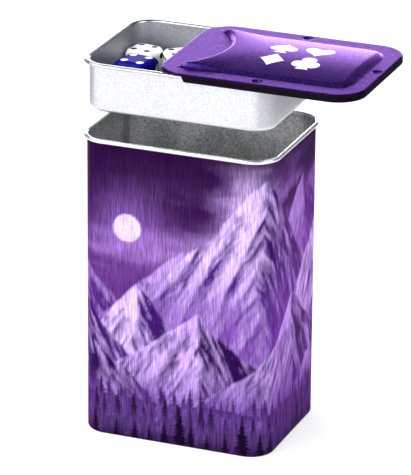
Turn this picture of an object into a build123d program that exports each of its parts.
"""Card deck tin, in millimetres.

An upright sheet-metal tin holds a deck of sleeved cards. A drawn dice tray drops into its mouth and hangs
on its curled rim, and a pressed lid slides along the tray's rim and off one end.
The origin is the centre of the tin's underside, +Z is up and the long side runs along X.
The tray is modelled lifted clear of the tin, with the lid slid part of the way open.
"""
import os

from build123d import *

# Tin
TIN_LENGTH = 76.0
TIN_DEPTH = 57.5
TIN_HEIGHT = 120.0
TIN_CORNER = 9.5
SHEET = 0.35
CURL_RADIUS = 0.8
CURL_END_ANGLE = -100.0
HEEL_RADIUS = 1.2
FOOT_FLANGE = 3.5
SEAM_WIDTH = 7.0
SEAM_CORNER_GAP = 0.5
SEAM_END_GAP = 3.0

# Base panel, dropped into the tin onto its turned-in foot
BASE_GAP = 0.1
BASE_UPSTAND = 3.0
BASE_BEND = 1.0

# Dice tray
TRAY_CLEARANCE = 0.5
TRAY_HEIGHT = 19.5
TRAY_BEND = 2.5
RIM_OVERHANG = 1.2
RIM_THICKNESS = 1.3
RIM_RETURN = 0.3

# Sliding lid
LID_SIDE_GAP = 0.3
LID_TOP_GAP = 0.6
LIP_GAP = 0.5
LIP_DEPTH = 1.1
LID_EDGE_RADIUS = 0.8
LIP_RADIUS = 0.5
SKIRT_SLANT = 20.0
PANEL_HEIGHT = 2.3
PANEL_TIP_FLANGE = 6.5
PANEL_END_FLANGE = 5.5
PANEL_SIDE_FLANGE = 8.0
PANEL_CORNER = 9.0
PANEL_EDGE = 1.2
PANEL_CROWN = 1.3
THUMB_REACH = 17.5
THUMB_TIP_RADIUS = 1.8
DIMPLE_RADIUS = 2.0
DIMPLE_DEPTH = 0.45
DIMPLE_SIDE_INSET = 3.6
DIMPLE_END_INSET = 2.8

# Dice
PIP_DEPTH = 0.5
PIP_PAINT = 0.3
DICE = {
    "white_die_left": {"size": 12.0, "centre": (-29.9, 15.2), "turn": -9.0, "top": 4},
    "blue_die": {"size": 14.0, "centre": (-25.4, -3.3), "turn": -8.0, "top": 4},
    "white_die_right": {"size": 12.0, "centre": (-15.6, 16.6), "turn": 35.0, "top": 5},
}
DIE_SIDE_ROUNDING_SHARE = 0.22
DIE_END_ROUNDING_SHARE = 0.2
PIP_RADIUS_SHARE = 0.11
PIP_PITCH_SHARE = 0.24

# Pose
SEAT_GAP = 0.1
TRAY_LIFT = 27.2
LID_SLIDE = 32.0

# Derived sizes
RIM_LENGTH = TIN_LENGTH + 2 * RIM_OVERHANG
RIM_DEPTH = TIN_DEPTH + 2 * RIM_OVERHANG
RIM_CORNER = TIN_CORNER + RIM_OVERHANG
TRAY_LENGTH = TIN_LENGTH - 2 * (SHEET + TRAY_CLEARANCE)
TRAY_DEPTH = TIN_DEPTH - 2 * (SHEET + TRAY_CLEARANCE)
TRAY_CORNER = TIN_CORNER - SHEET - TRAY_CLEARANCE
RIM_REACH = (RIM_LENGTH - TRAY_LENGTH) / 2
LID_LENGTH = RIM_LENGTH + 2 * (LID_SIDE_GAP + SHEET)
LID_DEPTH = RIM_DEPTH + 2 * (LID_SIDE_GAP + SHEET)
LID_CORNER = RIM_CORNER + LID_SIDE_GAP + SHEET
LID_TOP = TRAY_HEIGHT + LID_TOP_GAP + SHEET
LIP_UNDERSIDE = TRAY_HEIGHT - RIM_THICKNESS - LIP_GAP - SHEET
TRAY_SEATED_Z = TIN_HEIGHT + SEAT_GAP - LIP_UNDERSIDE
TRAY_Z = TRAY_SEATED_Z + TRAY_LIFT


def rounded(length, depth, corner, z=0.0):
    """A rounded rectangle centred on the Z axis, at height z."""
    return Pos(0, 0, z) * RectangleRounded(length, depth, corner)


def ring(length, depth, corner, thickness, bottom, top):
    """A sheet wall of this thickness inside a rounded rectangle, from bottom to top."""
    outside = rounded(length, depth, corner, bottom)
    inside = rounded(length - 2 * thickness, depth - 2 * thickness, corner - thickness, bottom)
    return extrude(outside - inside, top - bottom)


def loop(length, depth, corner):
    """A closed rounded rectangle that starts in the middle of the front side and runs towards +X."""
    x, y, r = length / 2, depth / 2, corner
    return Wire([
        Line((0, -y), (x - r, -y)),
        CenterArc((x - r, -y + r), r, -90, 90),
        Line((x, -y + r), (x, y - r)),
        CenterArc((x - r, y - r), r, 0, 90),
        Line((x - r, y), (-x + r, y)),
        CenterArc((-x + r, y - r), r, 90, 90),
        Line((-x, y - r), (-x, -y + r)),
        CenterArc((-x + r, -y + r), r, 180, 90),
        Line((-x + r, -y), (0, -y)),
    ])


def side_plane(x, depth):
    """The plane of a section on the front side: local x points outwards and local y points up."""
    return Plane(origin=(x, -depth / 2, 0), x_dir=(0, -1, 0), z_dir=(-1, 0, 0))


def around(section, length, depth, corner):
    """A section, drawn outwards and up from the wall, swept round a rounded rectangle."""
    return sweep(side_plane(0, depth) * section, path=loop(length, depth, corner))


def tin_section():
    """The tin's wall in section: turned-in foot, heel, wall and outward curl."""
    curl_x = CURL_RADIUS - SHEET
    curl_z = TIN_HEIGHT - CURL_RADIUS
    turn = CURL_END_ANGLE - 180
    curl_outside = CenterArc((curl_x, curl_z), CURL_RADIUS, 180, turn)
    curl_inside = CenterArc((curl_x, curl_z), CURL_RADIUS - SHEET, 180, turn)
    return make_face([
        CenterArc((-HEEL_RADIUS, HEEL_RADIUS), HEEL_RADIUS, -90, 90),
        Line((0, HEEL_RADIUS), (0, curl_z)),
        curl_inside,
        Line(curl_inside @ 1, curl_outside @ 1),
        curl_outside,
        Line((-SHEET, curl_z), (-SHEET, HEEL_RADIUS)),
        CenterArc((-HEEL_RADIUS, HEEL_RADIUS), HEEL_RADIUS - SHEET, 0, -90),
        Line((-HEEL_RADIUS, SHEET), (-FOOT_FLANGE, SHEET)),
        Line((-FOOT_FLANGE, SHEET), (-FOOT_FLANGE, 0)),
        Line((-FOOT_FLANGE, 0), (-HEEL_RADIUS, 0)),
    ])


def tin_body():
    """The tin's shell, with the lock seam of its sheet folded flat inside the left wall."""
    shell = around(tin_section(), TIN_LENGTH, TIN_DEPTH, TIN_CORNER)
    seam_bottom = SHEET + BASE_GAP + BASE_UPSTAND + SEAM_END_GAP
    seam_top = TIN_HEIGHT - 2 * CURL_RADIUS - SEAM_END_GAP
    seam_x = -TIN_LENGTH / 2 + 1.5 * SHEET
    seam_y = TIN_DEPTH / 2 - TIN_CORNER - SEAM_CORNER_GAP - SEAM_WIDTH / 2
    seam = Pos(seam_x, seam_y, (seam_bottom + seam_top) / 2) * Box(SHEET, SEAM_WIDTH, seam_top - seam_bottom)
    return shell + seam


def tin_base():
    """The base: a floor pressed down level with the tin's foot, and an edge turned up inside the wall."""
    wall_gap = SHEET + BASE_GAP
    length, depth, corner = TIN_LENGTH - 2 * wall_gap, TIN_DEPTH - 2 * wall_gap, TIN_CORNER - wall_gap
    shelf_bottom = SHEET + BASE_GAP
    shelf_top = shelf_bottom + SHEET
    upstand_top = shelf_bottom + BASE_UPSTAND
    step = FOOT_FLANGE + BASE_GAP
    step_length, step_depth, step_corner = TIN_LENGTH - 2 * step, TIN_DEPTH - 2 * step, TIN_CORNER - step
    bend = BASE_BEND
    upstand = make_face([
        CenterArc((-bend, shelf_bottom + bend), bend, -90, 90),
        Line((0, shelf_bottom + bend), (0, upstand_top)),
        Line((0, upstand_top), (-SHEET, upstand_top)),
        Line((-SHEET, upstand_top), (-SHEET, shelf_bottom + bend)),
        CenterArc((-bend, shelf_bottom + bend), bend - SHEET, 0, -90),
        Line((-bend, shelf_top), (-bend, shelf_bottom)),
    ])
    shelf_outside = rounded(length - 2 * bend, depth - 2 * bend, corner - bend, shelf_bottom)
    shelf_inside = rounded(step_length - SHEET, step_depth - SHEET, step_corner - SHEET / 2, shelf_bottom)
    floor = extrude(rounded(step_length, step_depth, step_corner), SHEET)
    riser = ring(step_length, step_depth, step_corner, SHEET, 0, shelf_top)
    shelf = extrude(shelf_outside - shelf_inside, SHEET)
    return around(upstand, length, depth, corner) + shelf + riser + floor


def dice_tray():
    """The tray: drawn walls with a rounded heel, and a rim turned out and hemmed under."""
    bend = TRAY_BEND
    hem = RIM_THICKNESS / 2
    hem_x = RIM_REACH - hem
    rim_bottom = TRAY_HEIGHT - SHEET
    hem_z = TRAY_HEIGHT - hem
    hem_return = hem_x - RIM_RETURN
    section = make_face([
        CenterArc((-bend, bend), bend, -90, 90),
        Line((0, bend), (0, rim_bottom)),
        Line((0, rim_bottom), (hem_x, rim_bottom)),
        CenterArc((hem_x, hem_z), hem - SHEET, 90, -180),
        Line((hem_x, hem_z - hem + SHEET), (hem_return, hem_z - hem + SHEET)),
        Line((hem_return, hem_z - hem + SHEET), (hem_return, hem_z - hem)),
        Line((hem_return, hem_z - hem), (hem_x, hem_z - hem)),
        CenterArc((hem_x, hem_z), hem, -90, 180),
        Line((hem_x, TRAY_HEIGHT), (SHEET, TRAY_HEIGHT)),
        CenterArc((SHEET, TRAY_HEIGHT - 2 * SHEET), 2 * SHEET, 90, 90),
        Line((-SHEET, TRAY_HEIGHT - 2 * SHEET), (-SHEET, bend)),
        CenterArc((-bend, bend), bend - SHEET, 0, -90),
        Line((-bend, SHEET), (-bend, 0)),
    ])
    floor = extrude(rounded(TRAY_LENGTH - 2 * bend, TRAY_DEPTH - 2 * bend, TRAY_CORNER - bend), SHEET)
    return around(section, TRAY_LENGTH, TRAY_DEPTH, TRAY_CORNER) + floor


def panel_outline(inset=0.0):
    """The raised panel's outline, with a concave thumb edge at its left end."""
    left = -LID_LENGTH / 2 + PANEL_TIP_FLANGE
    right = LID_LENGTH / 2 - PANEL_END_FLANGE
    side = LID_DEPTH / 2 - PANEL_SIDE_FLANGE
    corner = PANEL_CORNER
    thumb_x = -LID_LENGTH / 2 + THUMB_REACH
    outline = make_face([
        Line((left, -side), (right - corner, -side)),
        CenterArc((right - corner, -side + corner), corner, -90, 90),
        Line((right, -side + corner), (right, side - corner)),
        CenterArc((right - corner, side - corner), corner, 0, 90),
        Line((right - corner, side), (left, side)),
        ThreePointArc((left, side), (thumb_x, 0), (left, -side)),
    ])
    tips = outline.vertices().sort_by(Axis.X)[:2]
    outline = fillet(tips, THUMB_TIP_RADIUS)
    return offset(outline, -inset) if inset else outline


def crown_bar(sink):
    """A bar along X whose top is the panel's crown, lowered by sink."""
    half = LID_DEPTH / 2
    radius = (half**2 + PANEL_CROWN**2) / (2 * PANEL_CROWN)
    crest = LID_TOP + PANEL_HEIGHT - sink
    return Pos(0, 0, crest - radius) * Rot(0, 90, 0) * Cylinder(radius, 2 * LID_LENGTH)


def raised_panel(inset, sink, edge):
    """The raised panel as a solid block, with rounded upper edges."""
    base = LID_TOP - SHEET
    block = extrude(Pos(0, 0, base) * panel_outline(inset), PANEL_HEIGHT + SHEET + 1)
    block = block & crown_bar(sink)
    top = block.faces().sort_by(Axis.Z)[-1]
    return fillet(top.edges(), edge)


def lid_edge_section():
    """The lid's rounded outer edge."""
    bend = LID_EDGE_RADIUS
    return make_face([
        CenterArc((-bend, LID_TOP - bend), bend, 0, 90),
        Line((-bend, LID_TOP), (-bend, LID_TOP - SHEET)),
        CenterArc((-bend, LID_TOP - bend), bend - SHEET, 90, -90),
        Line((-SHEET, LID_TOP - bend), (0, LID_TOP - bend)),
    ])


def skirt_section():
    """The skirt below the lid's edge, with the lip that hooks under the tray's rim."""
    top = LID_TOP - LID_EDGE_RADIUS
    bend = LIP_RADIUS
    return make_face([
        Line((0, top), (0, LIP_UNDERSIDE + bend)),
        CenterArc((-bend, LIP_UNDERSIDE + bend), bend, 0, -90),
        Line((-bend, LIP_UNDERSIDE), (-SHEET - LIP_DEPTH, LIP_UNDERSIDE)),
        Line((-SHEET - LIP_DEPTH, LIP_UNDERSIDE), (-SHEET - LIP_DEPTH, LIP_UNDERSIDE + SHEET)),
        Line((-SHEET - LIP_DEPTH, LIP_UNDERSIDE + SHEET), (-bend, LIP_UNDERSIDE + SHEET)),
        CenterArc((-bend, LIP_UNDERSIDE + bend), bend - SHEET, -90, 90),
        Line((-SHEET, LIP_UNDERSIDE + bend), (-SHEET, top)),
        Line((-SHEET, top), (0, top)),
    ])


def lid_skirt():
    """The skirt along the front, right end and back, cut off on a slant past the left corners."""
    x, y, r = LID_LENGTH / 2, LID_DEPTH / 2, LID_CORNER
    start = -x + r
    path = Wire([
        Line((start, -y), (x - r, -y)),
        CenterArc((x - r, -y + r), r, -90, 90),
        Line((x, -y + r), (x, y - r)),
        CenterArc((x - r, y - r), r, 0, 90),
        Line((x - r, y), (start, y)),
    ])
    skirt = sweep(side_plane(start, LID_DEPTH) * skirt_section(), path=path)
    cutter = Pos(start, 0, LID_TOP) * Rot(0, -SKIRT_SLANT, 0) * Pos(-r / 2, 0, 0) * Box(r, 2 * LID_DEPTH, r)
    return skirt - cutter


def slide_lid():
    """The lid: flat flange, raised panel, rounded edge, skirt and three pressed dimples."""
    bend = LID_EDGE_RADIUS
    plate = extrude(
        rounded(LID_LENGTH - 2 * bend, LID_DEPTH - 2 * bend, LID_CORNER - bend, LID_TOP - SHEET), SHEET
    )
    lid = plate + around(lid_edge_section(), LID_LENGTH, LID_DEPTH, LID_CORNER) + lid_skirt()
    lid = lid + raised_panel(0.0, 0.0, PANEL_EDGE) - raised_panel(SHEET, SHEET, PANEL_EDGE - SHEET)
    sphere = (DIMPLE_RADIUS**2 + DIMPLE_DEPTH**2) / (2 * DIMPLE_DEPTH)
    centre_z = LID_TOP - DIMPLE_DEPTH + sphere
    under = Pos(0, 0, LID_TOP - SHEET - 2 * sphere) * Box(9 * sphere, 9 * sphere, 4 * sphere)
    side_y = LID_DEPTH / 2 - DIMPLE_SIDE_INSET
    end_x = LID_LENGTH / 2 - DIMPLE_END_INSET
    for x, y in ((0, -side_y), (0, side_y), (end_x, 0)):
        lid = lid + (Pos(x, y, centre_z) * Sphere(sphere + SHEET) & Pos(x, y, 0) * under)
        lid = lid - Pos(x, y, centre_z) * Sphere(sphere)
    return lid


def pip_spots(value):
    """Where the pips of one face lie, as (column, row) steps from its middle."""
    diagonal = [(-1, 1), (1, -1)]
    corners = diagonal + [(1, 1), (-1, -1)]
    spots = {
        1: [(0, 0)],
        2: diagonal,
        3: diagonal + [(0, 0)],
        4: corners,
        5: corners + [(0, 0)],
        6: corners + [(-1, 0), (1, 0)],
    }
    return spots[value]


def die_faces(size, top):
    """The plane of each face, paired with its pip count: opposite faces add up to seven."""
    front, right = (1, 2) if top in (3, 4) else (3, 1)
    directions = {
        (0, 0, 1): top,
        (0, 0, -1): 7 - top,
        (0, -1, 0): front,
        (0, 1, 0): 7 - front,
        (1, 0, 0): right,
        (-1, 0, 0): 7 - right,
    }
    return [(Plane(origin=Vector(*d) * (size / 2), z_dir=d), value) for d, value in directions.items()]


def pip_discs(size, top, sink, thickness):
    """One disc for each pip, its outer face at this depth below the die's face."""
    pitch = size * PIP_PITCH_SHARE
    discs = []
    for plane, value in die_faces(size, top):
        for column, row in pip_spots(value):
            place = Pos(column * pitch, row * pitch, -sink - thickness / 2)
            discs.append(plane * place * Cylinder(size * PIP_RADIUS_SHARE, thickness))
    return discs


def die(size, top):
    """A die with well rounded edges, centred on the origin, and the paint in its drilled pips."""
    cube = Box(size, size, size)
    cube = fillet(cube.edges().filter_by(Axis.Z), size * DIE_SIDE_ROUNDING_SHARE)
    ends = cube.faces().sort_by(Axis.Z)
    cube = fillet(ends[0].edges() + ends[-1].edges(), size * DIE_END_ROUNDING_SHARE)
    for hole in pip_discs(size, top, 0.0, PIP_DEPTH):
        cube = cube - hole
    discs = pip_discs(size, top, PIP_DEPTH - PIP_PAINT, PIP_PAINT)
    paint = Compound(children=[disc.solid() for disc in discs])
    return cube, paint


def main():
    """Every piece at its place, one file for each."""
    os.makedirs("parts", exist_ok=True)
    tray_place = Pos(0, 0, TRAY_Z)
    pieces = {
        "tin_body": tin_body(),
        "tin_base": tin_base(),
        "dice_tray": tray_place * dice_tray(),
        "slide_lid": tray_place * Pos(LID_SLIDE, 0, 0) * slide_lid(),
    }
    for name, spec in DICE.items():
        x, y = spec["centre"]
        place = tray_place * Pos(x, y, SHEET + spec["size"] / 2) * Rot(0, 0, spec["turn"])
        cube, paint = die(spec["size"], spec["top"])
        pieces[name] = place * cube
        pieces[name + "_pips"] = place * paint
    for name, piece in pieces.items():
        export_step(piece, f"parts/{name}.step")
        print(name, round(piece.volume, 2))


main()
